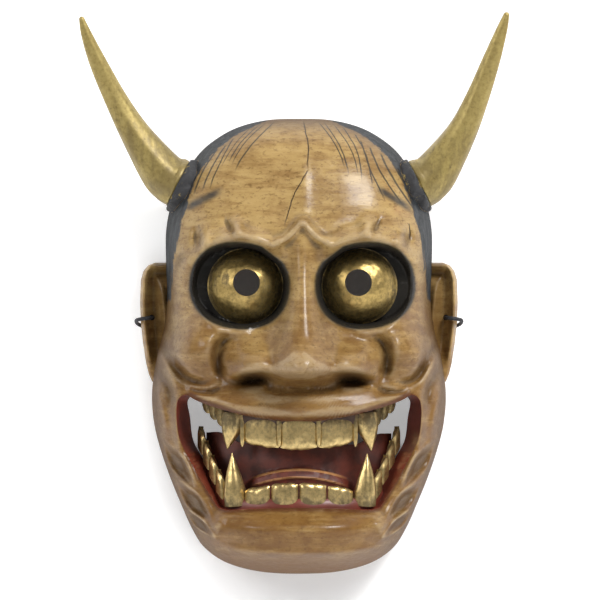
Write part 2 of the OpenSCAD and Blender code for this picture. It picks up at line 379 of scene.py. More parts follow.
# %% [markdown]
# The metal eyes are beaten first and the sockets are cut to take them, so their places are measured
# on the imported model.

# %% Measure the metal eyes
def middle(node):
    low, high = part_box(node)
    return [(a + b) / 2 / MM for a, b in zip(low, high)]


EYES = {side: middle(name) for side, name in ((-1, "left_eye"), (1, "right_eye"))}
EYE_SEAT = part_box("left_eye")[1][1] / MM
EYE_FLOOR = -EYE_SEAT - 2.0     # how far in front of the rim the sockets are flat
print("eyes at", {side: [round(c, 1) for c in place] for side, place in EYES.items()})

# %% [markdown]
# ## The features
# The carver leaves wood for the nose, the brow, the cheekbones, the lips and the chin, and only then
# cuts ridges and folds. The big masses come first here too, and the fine ones are added on top. In
# all of these, n is the distance across from the middle of the nose, which isn't that of the head.

# %% Nose, brow, cheeks, lips and chin
def nose(n, z):
    """Narrow between the eyes, wide below, and cut back steeply under the tip"""
    height = np.interp(z, [-8, 4, 20, 35, 48, 60], [25, 19, 12, 7, 3, 0])
    width = np.interp(z, [-8, 3, 15, 30, 45, 60], [17, 13.5, 9, 6.2, 5, 6])
    ridge = height * np.exp(-((np.abs(n) / width) ** 2.3)) * smooth(-19.5, -9.5, z)
    wings = swell(np.abs(n), z, 23.5, -7.5, 9.5, 8.5, 12, power=2.4) * smooth(-17.5, -12.5, z)
    wings = wings - swell(np.abs(n), z, 14.5, -6, 2.8, 7.5, 2.4, turn=-12)
    return ridge + wings + swell(n, z, 0, -8.5, 11, 7.5, 5.5)


def big_forms(x, z):
    """The masses that push the whole dome forward"""
    n = x - LEAN
    y = nose(n, z) + swell(x, z, 0, -26, 42, 7.5, 8, power=2.6)
    y += swell(x, z, 0, -76, 40, 7, 5, power=3) + swell(x, z, 0, -89, 43, 12, 22, power=3.2)
    for side in (-1, 1):
        y += swell(n, z, side * 27, 51, 24, 9, 6) + swell(n, z, side * 50, 1, 12.5, 11.5, 13, power=2.5)
        y += swell(n, z, side * 53, 59, 8, 14, -3)
    return y


# Leaf-shaped hollows on the right of the jaw: middle, half sizes, turn in degrees and depth
LEAVES = [(55.2, -53.8, 9.6, 3.1, 55, 3.8), (47.9, -71.0, 8.8, 3.1, 47, 3.8),
          (45.6, -80.6, 6.4, 1.9, 40, 2.6)]


# %% Painted shade and grime, ridges, folds and hollows
def painted_shade_and_grime(x, z):
    """Where the skin is darkened as painted shade and grime: jaw hollows, cheek folds, eye sockets,
    nostrils and beside the nose
    """
    n = x - LEAN
    shade_and_grime = swell(np.abs(n), z, 38.2, -6, 2.6, 9, 0.75)
    shade_and_grime = shade_and_grime + swell(np.abs(n), z, 12, 19, 2.2, 12, 0.35, turn=-20)
    for cx, cz, rx, rz, turn, _ in LEAVES:
        leaf = oval(np.abs(x), z, cx, cz, rx, rz, turn, 1.6)
        shade_and_grime = np.maximum(shade_and_grime, 0.62 * smooth(1.25, 0.35, leaf))
    for fold in ([(66, 8), (62, 0), (56, -10), (50, -18)], [(67, -6), (64, -12), (59, -20), (58, -32)]):
        shade_and_grime = np.maximum(shade_and_grime, 0.55 * stroke(np.abs(x), z, fold, 2.2, 1))
    for side in EYES:
        from_edge = (socket_reach(x, z, side) - 1.03) / 0.075
        shade_and_grime = np.maximum(shade_and_grime, 0.62 * np.exp(-(from_edge**2)))
    return np.maximum(shade_and_grime, swell(np.abs(n), z, 21.5, -14.8, 6.0, 2.6, 1.3, power=2.6).clip(0, 1))


def small_forms(x, z):
    """Ridges, folds and hollows, cut after the masses"""
    n = x - LEAN
    y = swell(n, z, 0, 74, 4, 26, 1.0)
    for side in (-1, 1):
        def line(points, width, height, **more):
            return stroke(n, z, [(side * px, pz) for px, pz in points], width, height, **more)

        def fold(points, width, height, **more):
            return stroke(x, z, [(side * px, pz) for px, pz in points], width, height, **more)

        # brow: a pointed crest over the nose, and ridges that run out over the eyes
        y += line([(0, 57.5), (3.5, 53), (7.5, 49), (12.5, 46.8)], 2.1, 4.2, fade=0.12)
        over_eye = [(5.5, 40), (12, 44.8), (20, 48.6), (29, 50), (39, 48), (47, 42), (52.5, 32)]
        y += line(over_eye, 3.2, 4.2, fade=0.18)
        y += line([(9, 52), (14, 51.8), (20, 54.8), (30, 56.3)], 3.0, -1.3)
        # tufts of the brow
        for tx, tz, turn in ((29.5, 53.5, 12), (44.5, 48.5, -12), (53.5, 38, -32)):
            y += swell(n, z, side * tx, tz, 2.9, 4.4, 4.0, turn=-side * turn, power=2.4)
            y += swell(n, z, side * (tx + 4.0), tz + 1.0, 1.6, 3.8, -2.8, turn=-side * (turn + 12))
        # lower lid
        y += line([(13, 10), (20, 7.2), (29, 6.2), (38, 8.5), (46, 14.5), (51, 24)], 2.2, 2.0)
        y += line([(7, 37), (9.5, 24), (16, 12), (28, 3.5)], 2.2, -3.6)
        # crescent beside the nose and the crease under the cheekbone
        y += line([(31, 3.5), (36, 1.5), (38.6, -4), (38, -10), (35, -16)], 2.4, -5.6, fade=0.3)
        y += line([(34, 8), (41, 4), (43.5, -5)], 2.6, 1.2)
        y += line([(40, -15.5), (46, -16.5), (53, -13.5), (59, -5)], 2.0, -3.4)
        # folds that run from the ear round the mouth
        y += fold([(66, 8), (62, 0), (56, -10), (50, -18)], 1.8, -3.0)
        y += fold([(66, 2), (63, -5), (58, -13), (54.5, -19)], 1.6, 1.8)
        y += fold([(63, 18), (60, 6), (57.5, -3), (54, -11)], 1.6, -2.0)
        y += fold([(67.5, -4), (64, -12), (59, -20), (58, -30)], 1.7, -2.8)
        y += fold([(67, -12), (64.5, -22), (61.5, -34), (61, -44)], 1.8, 2.0)
        y += fold([(33, -17), (39, -20.5), (46, -20.5), (52, -18)], 1.7, -3.0)
        # rolled edge round the mouth
        y += fold([(50, -19.5), (55.5, -25), (55.2, -41), (52, -52), (45.5, -64), (39, -74.5)], 1.9, 2.6)
        # leaf-shaped hollows on the jaw, each with a raised border
        for cx, cz, rx, rz, turn, depth in LEAVES:
            leaf = oval(x, z, side * cx, cz, rx, rz, turn=side * turn, power=1.5)
            y += 1.3 * np.exp(-(((leaf - 1.35) / 0.32) ** 2)) - depth * smooth(1.2, 0.45, leaf)
        y += fold([(35.5, -76), (37.5, -84), (40, -91.5)], 2.6, 2.6)
        # nostrils
        y += swell(n, z, side * 21.5, -14.6, 6.6, 2.8, -11, turn=-side * 8, power=2.6)
    # edges of the upper lip, the lower lip and the chin
    lip = [(-8, -31.4), (0, -31.6), (20, -29.3), (34, -25.8), (44, -22.4), (50, -19.8)]
    y += stroke(np.abs(x), z, lip, 2.4, 1.3, fade=0.1)
    lip = [(-8, -75.6), (0, -75.6), (19, -76), (34, -76.8), (38, -77)]
    y += stroke(np.abs(x), z, lip, 1.8, 1.4, fade=0.1)
    y += stroke(x, z, [(-38, -90.5), (-15, -93), (15, -93.2), (41, -90.5)], 2.0, 1.8, fade=0.12)
    return y


# %% Sockets, outer face and hollow
def socket_reach(x, z, side):
    """1 on the edge of an eye socket, which has a slanting upper corner beside the nose"""
    ex, _, ez = EYES[side]
    ring = oval(x, z, ex + side * 2.6, ez + 0.1, 21.4, 18.4, turn=side * 7, power=2.2)
    slant = ((z - ez) * 0.80 - side * (x - ex) * 0.60) / 17.6
    return np.maximum(ring, slant)


def carve(x, z, front):
    """Distance back from the rim plane, in mm, for each point of the outer face"""
    fade = smooth(0.05, 0.45, front)
    y = -front * (DOME_DEPTH + big_forms(x, z)) - fade * small_forms(x, z)
    for side, (ex, _, ez) in EYES.items():
        y = y + (-EYE_FLOOR - y) * smooth(1.02, 0.91, socket_reach(x, z, side))
    return y


def hollow(x, z, front):
    """The same for the inside, which is left thick behind the eyes and round the mouth"""
    y = -front * (DOME_DEPTH - WALL)
    for side, (ex, _, ez) in EYES.items():
        bulge = smooth(26, 18, np.hypot(x - ex, z - ez))
        y = np.maximum(y, y + (-EYE_FLOOR + 4.5 - y) * bulge)
    thick = smooth(1.12, 0.86, oval(x, z, 0, -49, 60, 33, power=2.8))
    return np.maximum(y, y + (-33 - y) * thick * smooth(0.3, 0.6, front))

# %% [markdown]
# The outer face and the hollow are two grids laid on the dome and joined along the rim. Paint goes
# where the carving is, so guides for the brush are stored on the mesh: how proud or how hollow each
# point is, how far it is turned from the front, and where the hair is painted.

# %% Lay a grid, and measure where paint goes
def laid_grid(bm, columns, rows, inset, depth_of, flip):
    """Adds a grid to bm, laid on the dome; returns its points, where they lie and their share out"""
    made = bmesh.ops.create_grid(bm, x_segments=columns, y_segments=rows, size=1)["verts"]
    flat = np.array([v.co[:2] for v in made])
    x, z, share, front = on_dome(flat[:, 0], flat[:, 1], inset)
    y = depth_of(x, z, front)
    for vert, place in zip(made, np.stack([x, y, z], 1) * MM):
        vert.co = place
    if flip:
        bmesh.ops.reverse_faces(bm, faces=list({f for v in made for f in v.link_faces}))
    return made, flat, np.stack([x, y, z], 1), share


def blurred(grid, passes):
    """Each pass mixes every point with those beside it, along both ways of the grid"""
    for _ in range(passes):
        for axis in (0, 1):
            padded = np.concatenate([np.take(grid, [0], axis), grid, np.take(grid, [-1], axis)], axis)
            n = grid.shape[axis]
            grid = (np.take(padded, range(n), axis) + np.take(padded, range(2, n + 2), axis) + 2 * grid) / 4
    return grid


def proudness(flat, places, normals, passes):
    """How far each point of a laid grid stands out of its smoothed surroundings, in mm"""
    order = np.lexsort((flat[:, 0], flat[:, 1]))
    rows = len(np.unique(np.round(flat[:, 1], 6)))
    grid = places[order].reshape(rows, -1, 3)
    change = (grid - blurred(grid, passes)).reshape(-1, 3)
    result = np.empty(len(places))
    result[order] = (change * normals[order]).sum(1)
    return result


def hair_edge(x, z, share):
    """1 where the skull is painted as hair, in a band that starts beside the crown"""
    turn = np.degrees(np.arctan2(np.abs(x), z))
    start = np.interp(turn, [0, 7, 12, 22, 32, 40, 48, 58, 70, 78],
                      [1.1, 1.0, .975, .95, .925, .895, .90, .935, .965, 1.1])
    soft = np.interp(turn, [0, 25, 40, 60], [0.02, 0.035, 0.06, 0.07])
    return smooth(0, 1, (share - start) / soft + 0.5)


# The right half of the mouth, from the middle of the upper lip to the middle of the lower one
MOUTH = [(0, -34.2), (20, -32), (34, -28.5), (44, -25), (49, -22.4), (52, -23.6), (53.4, -28),
         (52.7, -41.5), (49.5, -50), (43.5, -62), (37.5, -71.6), (34.4, -73.6), (30, -74), (19, -73.3),
         (0, -72.9)]


def from_mouth(x, z):
    """Distance in mm from the edge of the mouth"""
    line = rounded_open(MOUTH, 3)
    best = np.full_like(x, 99.0)
    for (ax, az), (bx, bz) in zip(line, line[1:]):
        share = np.clip(((np.abs(x) - ax) * (bx - ax) + (z - az) * (bz - az))
                        / ((bx - ax) ** 2 + (bz - az) ** 2), 0, 1)
        best = np.minimum(best, np.hypot(np.abs(x) - ax - share * (bx - ax), z - az - share * (bz - az)))
    return best


# %% Both skins of the head
COLUMNS, ROWS = ((250, 330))
bm = bmesh.new()
PAINT_GUIDES = ("proud", "broad", "hair", "turned", "socket", "lip", "shade_and_grime")
layers = {name: bm.verts.layers.float.new(name) for name in PAINT_GUIDES}
skin, skin_flat, skin_at, skin_share = laid_grid(bm, COLUMNS, ROWS, 0, carve, flip=False)
laid_grid(bm, COLUMNS // 2, ROWS // 2, WALL, hollow, flip=True)
rim = [e for e in bm.edges if e.is_boundary]
bmesh.ops.bridge_loops(bm, edges=rim)
bmesh.ops.recalc_face_normals(bm, faces=bm.faces)
bm.normal_update()

normals = np.array([v.normal[:] for v in skin])
guides = {
    "turned": smooth(0.35, 0.95, 1 - np.abs(normals[:, 1])),
    "proud": proudness(skin_flat, skin_at, normals, 3),
    "broad": proudness(skin_flat, skin_at, normals, 40),
    "hair": hair_edge(skin_at[:, 0], skin_at[:, 2], skin_share),
}
for name, values in guides.items():
    for vert, value in zip(skin, values):
        vert[layers[name]] = value
print("carved head:", len(bm.faces), "faces, proud", round(float(np.abs(guides["proud"]).max()), 2), "mm")

# %% [markdown]
# ## Finishes
# The skin is paint over gesso: warm tan on the forehead, browner towards the chin, streaked by the
# brush, rubbed pale on what stands proud and darkened grey-brown in what lies deep, as grime and painted
# shade. Its sides, the faces turned from the front and the underside of the chin are darkened as painted
# shade. Hair strands and cracks are thin lines, so they are drawn in the shader, where they stay sharp.

# %% The painted skin
def thin_line(x, z, start, end, bend, width):
    """1 on a line from start to end, mm across and up, that bows sideways by bend"""
    (x0, z0), (x1, z1) = start, end
    along = (z - z0) / (z1 - z0)
    middle_line = x0 + (x1 - x0) * along + 4 * bend * (along * (1 - along))
    slope = math.hypot(x1 - x0, z1 - z0) / abs(z1 - z0)
    near = abs(x - middle_line).ramp(width * slope, width * slope * 0.35)
    return near * along.ramp(-0.02, 0.03) * along.ramp(1.0, 0.75)


# Each painted strand: start and end, mm across and up, how far it bows, and its width
STRANDS = [
    ((-10.4, 104), (-29.4, 78.4), -2.2, 0.34), ((-14, 103.8), (-30.5, 82), -2.4, 0.26),
    ((-16.7, 103), (-32.3, 83), -2.0, 0.30), ((-21, 101.5), (-36, 81), -1.5, 0.22),
    ((-30, 95), (-41.1, 70.3), -1.2, 0.34), ((-33.5, 92), (-44.6, 69.4), -1.4, 0.38),
    ((-37.5, 90), (-48.2, 67.5), -1.8, 0.42), ((-41, 87), (-51, 66.6), -1.6, 0.46),
    ((-44.5, 85), (-53.6, 64.8), -1.2, 0.50), ((-47, 82), (-55.5, 63), -1.0, 0.55),
    ((7.7, 104), (21.3, 80.2), 2.0, 0.32), ((10.4, 104), (23.1, 76.6), 2.4, 0.34),
    ((15, 103), (27.3, 76.6), 2.6, 0.30), ((20, 101), (28.5, 73.9), 2.8, 0.34),
    ((26, 97), (33.2, 71.2), 2.2, 0.36), ((28.6, 94), (40, 64.8), -1.0, 0.40),
    ((32.5, 91), (48.8, 62.1), -1.5, 0.42), ((37.5, 88), (55.5, 58.5), -1.5, 0.46),
    ((42.5, 85), (58.3, 60.3), -1.2, 0.50), ((46, 83), (59.5, 62), -0.8, 0.5),
]
CRACKS = [((1.4, 104), (4.6, 79.3), 0.8), ((4.6, 80), (-6.4, 53), -1.8), ((50.2, 56), (50.4, 48), 0.3)]


def skin_paint(wire, shader):
    place = object_place(wire)
    x, y, z = [axis * 1000 for axis in split(wire, place)]
    proud, broad = wire.attribute("proud"), wire.attribute("broad")
    hair, socket, turned = wire.attribute("hair"), wire.attribute("socket"), wire.attribute("turned")
    cloud = wire.noise(place, 26, 5, 0.6)
    blotch = wire.noise(place, 85, 5, 0.62)
    brushed = wire.noise(place, 60, 5, 0.65, stretch=(1.0, 1.0, 5.5))
    specks = wire.noise(place, 420, 3, 0.7, stretch=(1.0, 1.0, 1.8))
    fine = wire.noise(place, 1500, 2, 0.6)

    lower = z.ramp(52, -30) * 0.80 + (cloud - 0.5) * 1.0
    tone = wire.mix(lower.ramp(0, 1), rgb(0.39, 0.258, 0.096), rgb(0.190, 0.092, 0.021))
    stained = blotch.ramp(0.42, 0.62) * (lower * 0.5 + 0.38).least(0.85)
    tone = wire.mix(stained, tone, rgb(0.150, 0.068, 0.016))
    tone = wire.mix(brushed.ramp(0.44, 0.70) * 0.5, tone, rgb(0.15, 0.066, 0.016))
    tone = wire.mix(brushed.ramp(0.50, 0.25) * 0.35, tone, rgb(0.50, 0.355, 0.155))
    tone = wire.mix(specks.ramp(0.50, 0.72) * 0.6, tone, rgb(0.10, 0.044, 0.012))
    redness = abs(x - 45).ramp(9, 2) * abs(z - 66).ramp(10, 2) * cloud.ramp(0.4, 0.7)
    tone = wire.mix(redness * 0.5, tone, rgb(0.50, 0.16, 0.07))
    # painted shade with grime: what lies deep in hollows and creases, and the marked places, is darkened
    # grey-brown, with less of it under the nose
    under_nose = abs(x - 1.6).ramp(17, 11) * abs(z + 15).ramp(9, 5)
    deep = (0 - broad).ramp(0.8, 5.5) * 0.26 + (0 - proud).ramp(0.04, 0.34) * 0.55
    deep = (deep * (1 - under_nose * 0.55)).most(wire.attribute("shade_and_grime") * (0.70 + cloud * 0.5))
    tone = wire.mix(deep.least(0.94), tone, rgb(0.056, 0.034, 0.016))
    worn = proud.ramp(0.06, 0.40) * (specks * 1.1 - 0.1)
    tone = wire.mix(worn.least(0.45), tone, rgb(0.50, 0.38, 0.22))
    # painted shade: the sides of the head, turning back towards the rim, are darkened
    side = (0 - y).ramp(44, 18) * abs(x).ramp(68, 65) * 0.62
    tone = wire.mix(side, tone, rgb(0.095, 0.048, 0.014))
    # painted shade: faces turned away from the front are darkened
    tone = wire.mix(turned * 0.72, tone, rgb(0.058, 0.024, 0.003))
    # painted shade: the underside of the chin is darkened
    tone = wire.mix(z.ramp(-91, -98) * 0.55, tone, rgb(0.120, 0.048, 0.005))

    strands = None
    wavy = x + (cloud - 0.5) * 3.5
    for start, end, bend, width in STRANDS:
        line = thin_line(wavy, z, start, end, bend, width * 1.25)
        strands = line if strands is None else strands.most(line)
    smudge = None
    for start, end in (((-53, 62.5), (-34, 71.5)), ((35, 72.5), (53, 61.5))):
        along = (x - start[0]) / (end[0] - start[0])
        across = abs(z - (start[1] + (end[1] - start[1]) * along))
        band = across.ramp(3.2, 0.3) * along.ramp(-0.05, 0.25) * along.ramp(1.05, 0.7)
        smudge = band if smudge is None else smudge.most(band)
    facing = (0 - y).ramp(20, 30)
    tone = wire.mix(smudge * facing * (0.5 + brushed * 0.7), tone, rgb(0.030, 0.030, 0.030))
    tone = wire.mix(strands * facing * 0.85, tone, rgb(0.018, 0.018, 0.018))
    combed = wire.noise(place, 420, 4, 0.7, stretch=(1.0, 1.0, 0.16))
    ragged = (hair + (combed - 0.5) * 1.5).ramp(0.38, 0.66) * hair.ramp(0.02, 0.2)
    hair_black = wire.mix(combed.ramp(0.4, 0.7), rgb(0.014, 0.016, 0.018), rgb(0.046, 0.050, 0.054))
    tone = wire.mix(ragged, tone, hair_black)
    tone = wire.mix(wire.attribute("lip") * 0.85, tone, rgb(0.075, 0.022, 0.010))
    blackened = (socket + (specks - 0.5) * 0.25).ramp(0.15, 0.75)
    tone = wire.mix(blackened, tone, rgb(0.016, 0.014, 0.011))
    cracks = None
    for start, end, bend in CRACKS:
        line = thin_line(x + (cloud - 0.5) * 5, z, start, end, bend, 0.36)
        cracks = line if cracks is None else cracks.most(line)
    cracks = cracks * facing
    tone = wire.mix(cracks * 0.9, tone, rgb(0.05, 0.03, 0.015))

    wire.plug(tone, shader.inputs["Base Color"])
    dull = specks * 0.16 + ragged * 0.14 + deep * 0.12 + turned * 0.32
    wire.plug(0.23 + dull, shader.inputs["Roughness"])
    relief = bump(wire, specks, 0.00016, 0.6)
    relief = bump(wire, blotch + brushed, 0.0008, 0.5, relief)
    relief = bump(wire, fine, 0.00005, 0.4, relief)
    wire.plug(bump(wire, 1 - cracks, 0.0006, 0.8, relief), shader.inputs["Normal"])
    shader.inputs["Coat Roughness"].default_value = 0.16
    wire.plug((1 - turned) * 0.20, shader.inputs["Coat Weight"])
    shader.inputs["Specular IOR Level"].default_value = 0.19


skin_finish = finish_material("aged_skin_lacquer", skin_paint)

# %% [markdown]
# The mouth is lined with red lacquer. The hollow is left as bare cypress, where the gouge has left its
# rows of shallow cuts. Black lacquer is built up thickly where a horn meets the head, and flecks of
# gold leaf stick to it.

# %% Red lacquer, bare wood and black crust
def red_lacquer(wire, shader):
    place = object_place(wire)
    cloud, specks = wire.noise(place, 60, 4), wire.noise(place, 500, 3, 0.7)
    tone = wire.mix(cloud.ramp(0.3, 0.7), rgb(0.19, 0.035, 0.018), rgb(0.11, 0.022, 0.012))
    tone = wire.mix(specks.ramp(0.6, 0.75) * 0.6, tone, rgb(0.04, 0.012, 0.008))
    wire.plug(tone, shader.inputs["Base Color"])
    wire.plug(0.28 + specks * 0.2, shader.inputs["Roughness"])
    wire.plug(bump(wire, specks, 0.00015, 0.4), shader.inputs["Normal"])


def bare_wood(wire, shader):
    place = object_place(wire)
    grain = wire.noise(place, 90, 5, 0.6, stretch=(1.0, 1.0, 0.08))
    tool = wire.node("ShaderNodeTexVoronoi", {"feature": "F1"}, {"Vector": place, "Scale": 110.0})
    tone = wire.mix(grain.ramp(0.35, 0.65), rgb(0.23, 0.13, 0.062), rgb(0.12, 0.062, 0.028))
    wire.plug(tone, shader.inputs["Base Color"])
    wire.plug(0.55 + grain * 0.2, shader.inputs["Roughness"])
    wire.plug(bump(wire, tool, 0.0012, 0.7), shader.inputs["Normal"])


def black_crust(wire, shader):
    place = object_place(wire)
    lumps = wire.noise(place, 350, 5, 0.7)
    flecks = wire.noise(place, 240, 4, 0.75, stretch=(1.0, 1.4, 0.7))
    chipped = flecks.ramp(0.60, 0.70)
    tone = wire.mix(chipped, rgb(0.022, 0.022, 0.024), rgb(0.36, 0.26, 0.08))
    wire.plug(tone, shader.inputs["Base Color"])
    wire.plug(0.45 + lumps * 0.3 - chipped * 0.15, shader.inputs["Roughness"])
    wire.plug(chipped * 0.8, shader.inputs["Metallic"])
    wire.plug(bump(wire, lumps, 0.0007, 0.9), shader.inputs["Normal"])


red_finish = finish_material("mouth_red_lacquer", red_lacquer)
wood_finish = finish_material("bare_cypress", bare_wood)
crust_finish = finish_material("black_crust", black_crust)

# %% [markdown]
# ## Cutting the head
# Some cuts go right through the wood: the mouth, the holes behind the eyes, the bores for the horns
# and the cord. Each is a cutter, taken away with one exact Boolean, and each cutter passes its own
# finish to the faces that it leaves.

# %% Make a piece
def piece(name, bm, finishes, nodes, body="mask", sharp=50):
    """Makes an object of a bmesh, and says which CAD nodes it stands for and which body it rides on"""
    mesh = bpy.data.meshes.new(name)
    bm.to_mesh(mesh)
    bm.free()
    for finish in finishes:
        mesh.materials.append(finish)
    mesh.shade_smooth()
    mesh.set_sharp_from_angle(angle=math.radians(sharp))
    made = bpy.data.objects.new(name, mesh)
    bpy.context.collection.objects.link(made)
    if nodes:
        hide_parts(*nodes)
        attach(made, body)
        print("piece:", name, len(mesh.polygons), "faces")
    return made


# %% Lofts, bars and swept tubes
def loft(bm, front_ring, back_ring, finish_index=0):
    """A closed solid between two rings of the same number of points, given in mm"""
    verts = [bm.verts.new(Vector(p) * MM) for p in front_ring]
    face = bm.faces.new(verts)
    grown = bmesh.ops.extrude_face_region(bm, geom=[face])["geom"]
    new = [v for v in grown if isinstance(v, bmesh.types.BMVert)]
    for vert in new:
        source = min(range(len(front_ring)), key=lambda i: (vert.co - verts[i].co).length)
        vert.co = Vector(back_ring[source]) * MM
    for face in {f for v in verts + new for f in v.link_faces}:
        face.material_index = finish_index


def bar(bm, start, end, radius, finish_index=0, segments=64):
    """A round bar between two points, in mm"""
    start, end = Vector(start) * MM, Vector(end) * MM
    along = end - start
    place = Matrix.Translation((start + end) / 2) @ along.to_track_quat("Z", "Y").to_matrix().to_4x4()
    made = bmesh.ops.create_cone(bm, cap_ends=True, segments=segments, radius1=radius * MM,
                                 radius2=radius * MM, depth=along.length, matrix=place)["verts"]
    for face in {f for v in made for f in v.link_faces}:
        face.material_index = finish_index


def swept(bm, centres, radii, segments=24, shape=None, finish_index=0, first_side=(0, 0, 1), close=False):
    """A tube through the centres, in mm, with flat ends, or joined in a ring where close is set

    Each ring is pushed out from the last one, so its points are first turned back to find their angle.
    shape(ring, angle) scales the radius.
    """
    centres = [Vector(c) for c in centres]
    side = Vector(first_side)
    verts = bmesh.ops.create_circle(bm, segments=segments, radius=1)["verts"]
    edges = list({e for v in verts for e in v.link_edges})
    first, everything = edges, list(verts)
    old, old_size = Matrix.Identity(4), (1, 1)
    for i, centre in enumerate(centres):
        ahead = (centres[min(i + 1, len(centres) - 1)] - centres[max(i - 1, 0)]).normalized()
        side = (side - side.dot(ahead) * ahead).normalized()
        frame_now = Matrix((side, ahead.cross(side), ahead)).transposed().to_4x4()
        frame_now.translation = centre
        if i:
            grown = bmesh.ops.extrude_edge_only(bm, edges=edges)["geom"]
            verts = [g for g in grown if isinstance(g, bmesh.types.BMVert)]
            edges = [g for g in grown if isinstance(g, bmesh.types.BMEdge)]
            everything += verts
        across, deep = radii[i] if isinstance(radii[i], tuple) else (radii[i], radii[i])
        undo = old.inverted()
        for vert in verts:
            local = undo @ (vert.co / MM) if i else vert.co
            angle = math.atan2(local.y / old_size[1], local.x / old_size[0])
            size = shape(i, angle) if shape else 1
            flat = Vector((math.cos(angle) * across * size, math.sin(angle) * deep * size, 0))
            vert.co = frame_now @ flat * MM
        old, old_size = frame_now, (across, deep)
    if close:
        bmesh.ops.bridge_loops(bm, edges=first + edges)
    else:
        bmesh.ops.holes_fill(bm, edges=first + edges, sides=0)
    faces = list({f for v in everything for f in v.link_faces})
    for face in faces:
        face.material_index = finish_index
    bmesh.ops.recalc_face_normals(bm, faces=faces)


# %% Join or cut, and give the cut faces the tool's finish
def apply_cut(target, tool, operation):
    cut = target.modifiers.new("cut", "BOOLEAN")
    cut.object = tool
    cut.operation = operation
    cut.solver = "EXACT"
    cut.material_mode = "TRANSFER"
    bpy.context.view_layer.update()
    depsgraph = bpy.context.evaluated_depsgraph_get()
    result = bpy.data.meshes.new_from_object(target.evaluated_get(depsgraph), depsgraph=depsgraph)
    target.modifiers.clear()
    target.data = result
    bpy.data.objects.remove(tool)
    print(operation.lower(), "leaves", len(result.polygons), "faces")


# %% Where the horns sit
HORN_SEAT = (55.4, -22, 74.6)
HORN_RISE = math.radians(27)


def horn_axis(side):
    return Vector((side * math.cos(HORN_RISE), 0, math.sin(HORN_RISE)))


def horn_seat(side):
    return Vector((side * HORN_SEAT[0], HORN_SEAT[1], HORN_SEAT[2]))


# %% The head and the crusty collars round the horns' roots
HEAD_FINISHES = [skin_finish, wood_finish, red_finish, crust_finish]
SKIN, BARE, RED, CRUST = range(4)
head = piece("carved_face", bm, HEAD_FINISHES, ["mask_shell"])

collars = bmesh.new()
for side in (-1, 1):
    axis, seat = horn_axis(side), horn_seat(side)
    rings = [(-16, 11.0), (-8, 11.8), (-5, 12.7), (-3, 13.1), (-1.5, 13.1), (-0.6, 12.8), (0, 12.1)]
    swept(collars, [seat + out * axis for out, _ in rings], [r for _, r in rings], 72,
          lambda i, a: 1 + 0.035 * math.sin(7 * a + i) + 0.02 * math.sin(17 * a + 2 * i), CRUST)
apply_cut(head, piece("collars", collars, HEAD_FINISHES, None), "UNION")

# %% Cut the mouth and the round holes for eyes, tenons and cord
BORE_R, BORE_L = 5.05, 12.5
EYE_HOLE_R, CORD_HOLE_R = 14.2, 1.4
MOUTH_FRONT, MOUTH_BACK = -90, -28
TAPER_END = -30         # the mouth gets narrower from the front to here
MOUTH_SLOPE = 0.42

cutters = bmesh.new()
mouth_ring = rounded(MOUTH + [(-px, pz) for px, pz in MOUTH[-2:0:-1]], 4)
front_ring, back_ring = [], []
for px, pz in mouth_ring:
    taper_x = MOUTH_SLOPE * px / 53 * min(1, abs(px) / 40)
    taper_z = 0.05 * (pz + 49) / 25
    lip_y = -64 + 20 * (px / 53) ** 2
    ahead, behind = MOUTH_FRONT - lip_y, TAPER_END - lip_y
    front_ring.append((px - taper_x * ahead, MOUTH_FRONT, pz - taper_z * ahead))
    back_ring.append((px - taper_x * behind, MOUTH_BACK, pz - taper_z * behind))
loft(cutters, front_ring, back_ring, RED)
for side, (ex, _, ez) in EYES.items():
    axis, seat = horn_axis(side), horn_seat(side)
    bar(cutters, (ex, -EYE_FLOOR - 3, ez), (ex, -5, ez), EYE_HOLE_R, CRUST)
    bar(cutters, seat - BORE_L * axis, seat + 30 * axis, BORE_R, BARE)
    bar(cutters, (side * 50, -4.5, 6), (side * 70, -4.5, 6), CORD_HOLE_R, BARE, 24)
bmesh.ops.recalc_face_normals(cutters, faces=cutters.faces)
apply_cut(head, piece("cutters", cutters, HEAD_FINISHES, None), "DIFFERENCE")

# %% [markdown]
# The cuts made new points and new faces. The guides that depend only on the place are worked out
# again for all of them, and what lies inside the hollow is turned from skin paint to bare wood.

# %% Guides that follow the cut edges
def mark_places(mesh):
    """Marks the lip, the painted shade with grime, and the black sockets on every point"""
    flat = np.empty(len(mesh.vertices) * 3)
    mesh.vertices.foreach_get("co", flat)
    x, z = flat[0::3] / MM, flat[2::3] / MM
    socket = np.max([smooth(1.15, 0.99, socket_reach(x, z, side)) for side in EYES], axis=0)
    marks = {"lip": smooth(2.2, 0.7, from_mouth(x, z)), "shade_and_grime": painted_shade_and_grime(x, z), "socket": socket}
    for name, value in marks.items():
        mesh.attributes[name].data.foreach_set("value", value.astype(np.float32))


mark_places(head.data)

# %% Paint the hollow as bare wood
def hollow_finish(mesh):
    """Faces of the skin finish that look backwards inside the rim are bare wood"""
    for face in mesh.polygons:
        x, y, z = (c / MM for c in face.center)
        turn = math.atan2(z, x)
        reach = np.interp(turn, edge_turn, edge_reach, period=2 * math.pi)
        inward = -(face.normal.x * math.cos(turn) + face.normal.z * math.sin(turn))
        out = math.hypot(x, z)
        floor_of_hollow = face.normal.y > 0.35 and out < reach - 0.5
        wall_of_hollow = inward > 0.5 and y > -40 and out < reach - 4
        if face.material_index == SKIN and (floor_of_hollow or wall_of_hollow):
            face.material_index = BARE


hollow_finish(head.data)
head.data.shade_smooth()
head.data.set_sharp_from_angle(angle=math.radians(50))
print("head:", len(head.data.polygons), "faces")

# %% [markdown]
# ## Ears
# An ear is carved flat and thin beside the head. Its rim is a ridge that follows the outline, with a
# groove inside it and a second, winding ridge inside that. A grid pushed into that relief and
# extruded to a flat back gives one closed piece, which a small cutter pierces for the cord.

